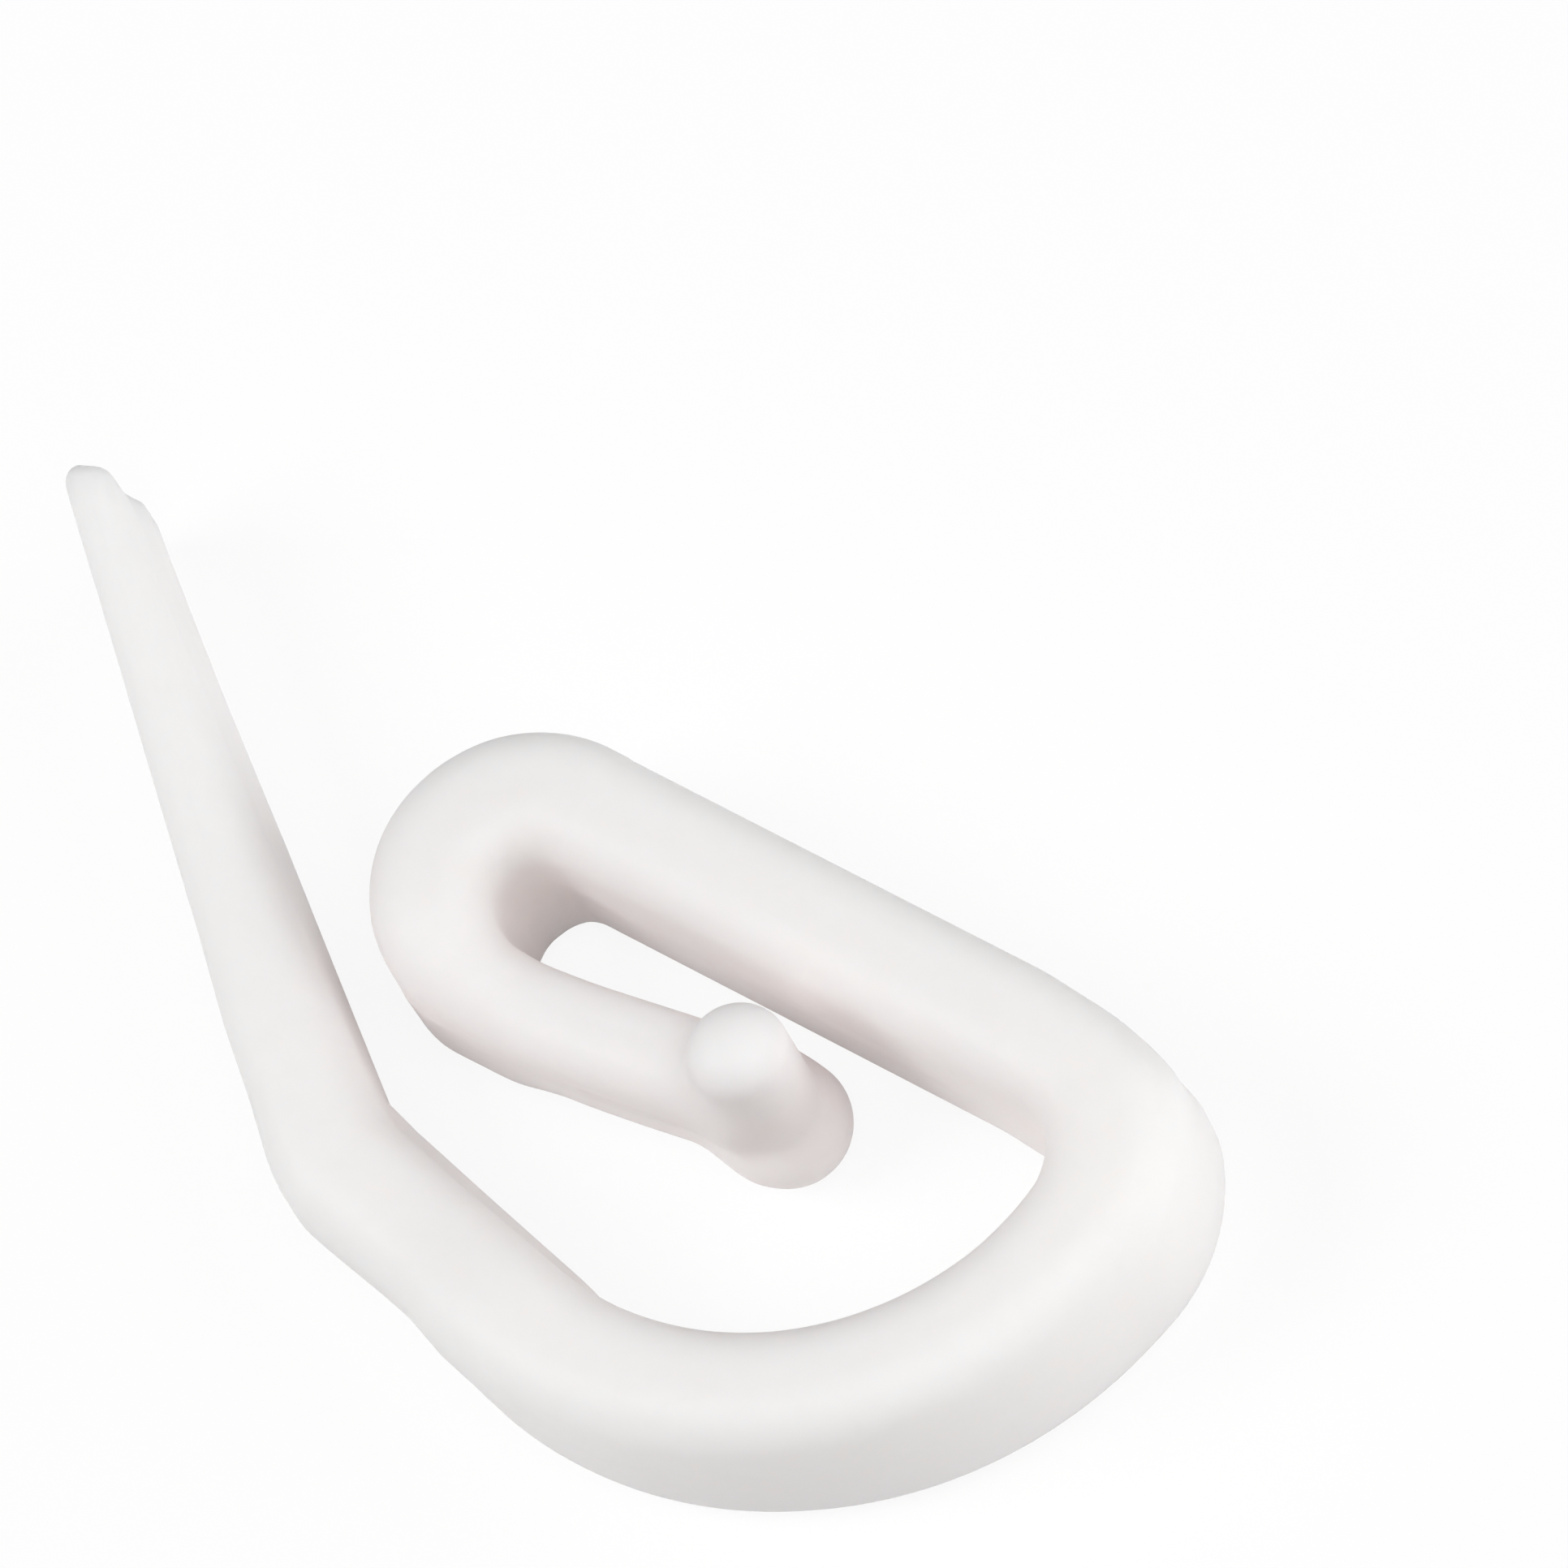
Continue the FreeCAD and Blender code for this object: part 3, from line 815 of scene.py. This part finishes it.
@dataclass
class Hook:
    """The whole moulding: the bar and the pin made one, with a fillet where they meet.

    The fillet's reach changes between two heights. The sizes after it say which vertices are moved onto it, how
    many times over, how far towards their neighbours' mean, and the least squared slope that is divided by.
    """

    bar: Bar = field(default_factory=Bar)
    pin: Pin = field(default_factory=Pin)
    finish: SatinPlastic = field(default_factory=SatinPlastic)
    low_fillet: float = 0.75
    high_fillet: float = 1.3
    fillet_change: tuple[float, float] = (2.4, 3.6)
    join_reach: float = 2.6
    skin: float = 0.06
    join_rounds: int = 8
    evening: float = 0.5
    slope_rounds: int = 3
    least_slope: float = 0.5
    outline_steps: tuple[int, int, int] = (9, 8, 10)

    def build(self) -> bpy.types.Object:
        """Builds and dresses the moulding.

        Returns:
            The finished piece.
        """
        outline = Outline.rounded_rectangle(*self.outline_steps)
        bar = grid_object("bar", self.bar.vertices(outline), has_poles=False)
        pin = grid_object("pin", self.pin.vertices(self.bar.pin_place()), has_poles=True)
        piece = united("hook_moulding", bar, pin)
        self.round_join(piece.data)
        piece.data.materials.clear()
        piece.data.materials.append(self.finish.material("satin_plastic"))
        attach(piece, BODY)
        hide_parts(NODE)
        return piece

    def pin_distance(self, places: np.ndarray) -> np.ndarray:
        """Signed distance in millimetres to the pin."""
        return self.pin.distance(places, self.bar.pin_place())

    def distance(self, places: np.ndarray) -> np.ndarray:
        """Signed distance in millimetres to the arm and the pin joined by the fillet.

        The fillet is wider above than below. What it has more above fades by 1 - cos of the angle between the two
        faces, so that it adds nothing where the arm's wall runs smoothly into the pin.

        Args:
            places: places in millimetres, one row each.

        Returns:
            The distances, negative inside.
        """
        high = smooth_step(places[:, 2], *self.fillet_change)
        alike = (slope_of(self.bar.arm_distance, places) * slope_of(self.pin_distance, places)).sum(axis=1)
        reach = self.low_fillet + (self.high_fillet - self.low_fillet) * high * (1.0 - np.clip(alike, 0.0, 1.0))
        return softly_joined(self.bar.arm_distance(places), self.pin_distance(places), reach)

    def round_join(self, mesh: bpy.types.Mesh) -> None:
        """Moves the vertices round the join of arm and pin onto the fillet.

        They lie on the arm's or the pin's own skin, near the pin's axis and not far off the other's skin. Each is
        drawn towards the mean of its neighbours and then moved along the slope of the distance to where the
        distance is nothing, a few times over.

        Args:
            mesh: the united mesh, in metres.
        """
        places = vertex_places(mesh) / MM
        edges = np.empty(len(mesh.edges) * 2, dtype=np.int64)
        mesh.edges.foreach_get("vertices", edges)
        first, second = edges.reshape(-1, 2).T
        count = np.bincount(edges, minlength=len(places))
        near_pin = np.abs(self.pin_distance(places))
        near_arm = np.abs(self.bar.arm_distance(places))
        is_close = np.linalg.norm(places[:, :2] - self.bar.pin_place(), axis=1) < self.join_reach
        is_on_either = np.minimum(near_pin, near_arm) < self.skin
        chosen = is_close & is_on_either & (np.maximum(near_pin, near_arm) < self.high_fillet)
        for _ in range(self.join_rounds):
            total = np.zeros_like(places)
            np.add.at(total, first, places[second])
            np.add.at(total, second, places[first])
            mean = total / count[:, None]
            places[chosen] += self.evening * (mean[chosen] - places[chosen])
            moved = places[chosen]
            for _ in range(self.slope_rounds):
                slope = slope_of(self.distance, moved)
                squared = np.maximum((slope ** 2).sum(axis=1), self.least_slope)
                moved = moved - self.distance(moved)[:, None] * slope / squared[:, None]
            places[chosen] = moved
        mesh.vertices.foreach_set("co", (places * MM).ravel())
        mesh.update()


def slope_of(distance: Callable[[np.ndarray], np.ndarray], places: np.ndarray) -> np.ndarray:
    """Slope of a distance at each place, by differences over a few thousandths of a millimetre."""
    step = 0.002
    rises = [distance(places + step * axis) - distance(places - step * axis) for axis in np.eye(3)]
    return np.stack(rises, axis=1) / (2.0 * step)


def vertex_places(mesh: bpy.types.Mesh) -> np.ndarray:
    """The mesh's vertices as an array of rows."""
    places = np.empty(len(mesh.vertices) * 3)
    mesh.vertices.foreach_get("co", places)
    return places.reshape(-1, 3)


def in_scene(name: str, data: bpy.types.ID) -> bpy.types.Object:
    """A new object with some data, linked to the scene."""
    item = bpy.data.objects.new(name, data)
    bpy.context.scene.collection.objects.link(item)
    return item


def grid_object(name: str, grid: np.ndarray, has_poles: bool) -> bpy.types.Object:
    """Closed mesh over a grid of places whose rows are loops.

    Each cell between two rows becomes a face, and the first and last rows are closed, by a flat cap of triangles
    round a middle vertex or, where the rows have shrunk to a point, by welding them.

    Args:
        name: the object's name.
        grid: places in millimetres, rows by columns by 3.
        has_poles: whether the first and last rows are points.

    Returns:
        The object, in the scene.
    """
    rows, columns = grid.shape[:2]
    places = grid.reshape(-1, 3)
    row, column = np.meshgrid(np.arange(rows - 1), np.arange(columns), indexing="ij")
    following = (column + 1) % columns
    here, beyond = row * columns, (row + 1) * columns
    corners = [here + column, here + following, beyond + following, beyond + column]
    faces = np.stack(corners, axis=2).reshape(-1, 4).tolist()
    if not has_poles:
        caps = np.stack([grid[0].mean(axis=0), grid[-1].mean(axis=0)])
        ring = np.arange(columns)
        after = (ring + 1) % columns
        start = np.stack([np.full(columns, len(places)), after, ring], axis=1)
        last = (rows - 1) * columns
        end = np.stack([np.full(columns, len(places) + 1), last + ring, last + after], axis=1)
        places = np.concatenate([places, caps])
        faces += start.tolist() + end.tolist()
    mesh = bpy.data.meshes.new(name)
    mesh.from_pydata((places * MM).tolist(), [], faces)
    shell = bmesh.new()
    shell.from_mesh(mesh)
    bmesh.ops.remove_doubles(shell, verts=shell.verts, dist=SAME_PLACE)
    bmesh.ops.recalc_face_normals(shell, faces=shell.faces)
    shell.to_mesh(mesh)
    shell.free()
    return in_scene(name, mesh)


def united(name: str, first: bpy.types.Object, second: bpy.types.Object) -> bpy.types.Object:
    """One closed mesh from two that overlap. Both are removed.

    Args:
        name: the new object's name.
        first: one closed object.
        second: the other.

    Returns:
        The new object, smoothly shaded, at the origin.
    """
    joint = first.modifiers.new("union", "BOOLEAN")
    joint.operation = "UNION"
    joint.solver = "EXACT"
    joint.object = second
    graph = bpy.context.evaluated_depsgraph_get()
    mesh = bpy.data.meshes.new_from_object(first.evaluated_get(graph))
    shell = bmesh.new()
    shell.from_mesh(mesh)
    bmesh.ops.remove_doubles(shell, verts=shell.verts, dist=WELD)
    bmesh.ops.dissolve_degenerate(shell, edges=shell.edges, dist=NO_LENGTH)
    bmesh.ops.triangulate(shell, faces=[face for face in shell.faces if len(face.verts) > 4])
    bmesh.ops.recalc_face_normals(shell, faces=shell.faces)
    shell.to_mesh(mesh)
    shell.free()
    mesh.name = name
    mesh.shade_smooth()
    bpy.data.objects.remove(first)
    bpy.data.objects.remove(second)
    return in_scene(name, mesh)


@dataclass(frozen=True)
class Viewpoint:
    """The photograph's camera: how it is turned, how far it stands off and how large a millimetre looks.

    Angles are in radians, shifts in millimetres and clips in metres, and nearness is one over the distance.
    """

    tilt: float = -0.55364
    roll: float = 0.53451
    turn: float = 2.06575
    pixels_per_mm: float = 61.506
    shift_right: float = 1.6141
    shift_up: float = -4.4623
    nearness: float = 0.003158
    image_size: int = 1932
    sensor: float = 36.0
    clip: tuple[float, float] = (0.01, 20.0)

    def axes(self) -> np.ndarray:
        """The camera's right, up and back directions as rows: a turn about Z, then a tilt, then a roll."""
        turn = np.array(Matrix.Rotation(self.turn, 3, "Z"))
        tilt = np.array(Matrix.Rotation(self.tilt, 3, "X"))
        roll = np.array(Matrix.Rotation(self.roll, 3, "Z"))
        return roll @ tilt @ turn

    def place(self) -> bpy.types.Object:
        """Puts the camera in the scene and makes it the scene's own."""
        axes = self.axes()
        distance = 1.0 / self.nearness
        spot = axes.T @ np.array([-self.shift_right, -self.shift_up, distance])
        data = bpy.data.cameras.new("camera")
        data.sensor_width = self.sensor
        data.lens = self.pixels_per_mm * distance / self.image_size * self.sensor
        data.clip_start, data.clip_end = self.clip
        camera = in_scene("camera", data)
        matrix = Matrix(axes.T.tolist()).to_4x4()
        matrix.translation = Vector(spot.tolist()) * MM
        camera.matrix_world = matrix
        bpy.context.scene.camera = camera
        return camera


@dataclass(frozen=True)
class Lamp:
    """A soft square lamp that looks at the hook, placed by where it stands as the camera sees it."""

    name: str
    direction: tuple[float, float, float]
    strength: float
    distance: float = 0.6
    size: float = 0.35

    def place(self, view: Viewpoint, target: np.ndarray) -> bpy.types.Object:
        """Hangs the lamp.

        Args:
            view: the camera whose right, up and back the direction is given in.
            target: the place that it looks at, in metres.

        Returns:
            The lamp. Its power lights a facing white surface to its strength: pi^2 d^2 watts for strength 1.
        """
        away = np.array(self.direction) @ view.axes()
        away = away / np.linalg.norm(away)
        data = bpy.data.lights.new(self.name, "AREA")
        data.shape = "SQUARE"
        data.size = self.size
        data.energy = self.strength * (math.pi * self.distance) ** 2
        lamp = in_scene(self.name, data)
        lamp.location = (target + away * self.distance).tolist()
        lamp.rotation_mode = "QUATERNION"
        lamp.rotation_quaternion = Vector(away.tolist()).to_track_quat("Z", "Y")
        return lamp


def mix_to_output(tree: bpy.types.NodeTree, factor: bpy.types.NodeSocket, plain: bpy.types.NodeSocket,
                  seen: bpy.types.NodeSocket, output: str) -> None:
    """Links the tree's output to what is seen where the factor is 1, and to the plain shader where it is 0."""
    mix = tree.nodes.new("ShaderNodeMixShader")
    tree.links.new(factor, mix.inputs["Fac"])
    tree.links.new(plain, mix.inputs[1])
    tree.links.new(seen, mix.inputs[2])
    tree.links.new(mix.outputs["Shader"], tree.nodes[output].inputs["Surface"])


@dataclass(frozen=True)
class Studio:
    """The floor, the pale surroundings and the lamps."""

    floor_size: float = 3.0
    floor_colour: Colour = (0.98, 0.98, 0.98)
    floor_roughness: float = 0.9
    whiteness: float = 0.88
    ambient: float = 0.02
    target: tuple[float, float, float] = (0.0047, 0.005, 0.002)
    lamps: tuple[Lamp, ...] = (
        Lamp("front_lamp", (0.0, 0.10, 1.0), 0.285),
        Lamp("left_lamp", (-0.90, 0.15, 0.60), 0.63),
        Lamp("high_right_lamp", (0.50, 0.20, 0.85), 0.11),
        Lamp("low_right_lamp", (0.95, 0.10, 0.30), 0.56),
        Lamp("far_right_lamp", (0.50, 0.70, 0.60), 0.21),
    )

    def add_floor(self) -> bpy.types.Object:
        """Lays the floor at the resting face, as a stage and not a part of the hook."""
        half = self.floor_size / 2
        corners = [(-half, -half, 0.0), (half, -half, 0.0), (half, half, 0.0), (-half, half, 0.0)]
        mesh = bpy.data.meshes.new("floor")
        mesh.from_pydata(corners, [], [(0, 1, 2, 3)])
        mesh.materials.append(self.floor_material())
        floor = in_scene("floor", mesh)
        return floor

    def floor_material(self) -> bpy.types.Material:
        """Matte floor that the camera sees mostly as plain white, with the hook's shadow still on it."""
        material = bpy.data.materials.new("pale_floor")
        material.use_nodes = True
        tree = material.node_tree
        matte = tree.nodes["Principled BSDF"]
        set_inputs(matte, {"Base Color": (*self.floor_colour, 1.0), "Roughness": self.floor_roughness})
        white = tree.nodes.new("ShaderNodeEmission")
        white.inputs["Strength"].default_value = 1.0
        seen = self.is_seen(tree)
        share = tree.nodes.new("ShaderNodeMath")
        share.operation = "MULTIPLY"
        share.inputs[1].default_value = self.whiteness
        tree.links.new(seen, share.inputs[0])
        mix_to_output(tree, share.outputs[0], matte.outputs["BSDF"], white.outputs["Emission"], "Material Output")
        return material

    @staticmethod
    def is_seen(tree: bpy.types.NodeTree) -> bpy.types.NodeSocket:
        """1 for rays from the camera, straight or by a mirror or through glass, and 0 for the others."""
        path = tree.nodes.new("ShaderNodeLightPath")
        total = path.outputs["Is Camera Ray"]
        for name in ("Is Glossy Ray", "Is Transmission Ray"):
            either = tree.nodes.new("ShaderNodeMath")
            either.operation = "MAXIMUM"
            tree.links.new(total, either.inputs[0])
            tree.links.new(path.outputs[name], either.inputs[1])
            total = either.outputs[0]
        return total

    def add_surroundings(self) -> None:
        """Faint even light from all round, which the camera sees as plain white."""
        world = bpy.data.worlds.new("surroundings")
        world.use_nodes = True
        tree = world.node_tree
        light = tree.nodes["Background"]
        set_inputs(light, {"Color": (1.0, 1.0, 1.0, 1.0), "Strength": self.ambient})
        white = tree.nodes.new("ShaderNodeBackground")
        white.inputs["Color"].default_value = (1.0, 1.0, 1.0, 1.0)
        camera_rays = tree.nodes.new("ShaderNodeLightPath").outputs["Is Camera Ray"]
        mix_to_output(tree, camera_rays, light.outputs["Background"], white.outputs["Background"], "World Output")
        bpy.context.scene.world = world

    def build(self, view: Viewpoint) -> None:
        """Lays the floor, sets the surroundings and hangs the lamps, which the camera's directions place."""
        self.add_floor()
        self.add_surroundings()
        for lamp in self.lamps:
            lamp.place(view, np.array(self.target))


def main() -> None:
    """Builds the scene in order and reports each piece."""
    logging.basicConfig(level=logging.INFO, format="%(message)s")
    scene = bpy.context.scene
    scene.view_settings.view_transform = "Standard"
    view = Viewpoint()
    view.place()
    Studio().build(view)
    LOG.info("studio: floor, surroundings, lamps and camera")
    piece = Hook().build()
    LOG.info("%s: %d vertices, %d faces", piece.name, len(piece.data.vertices), len(piece.data.polygons))


if __name__ == "__main__":
    main()
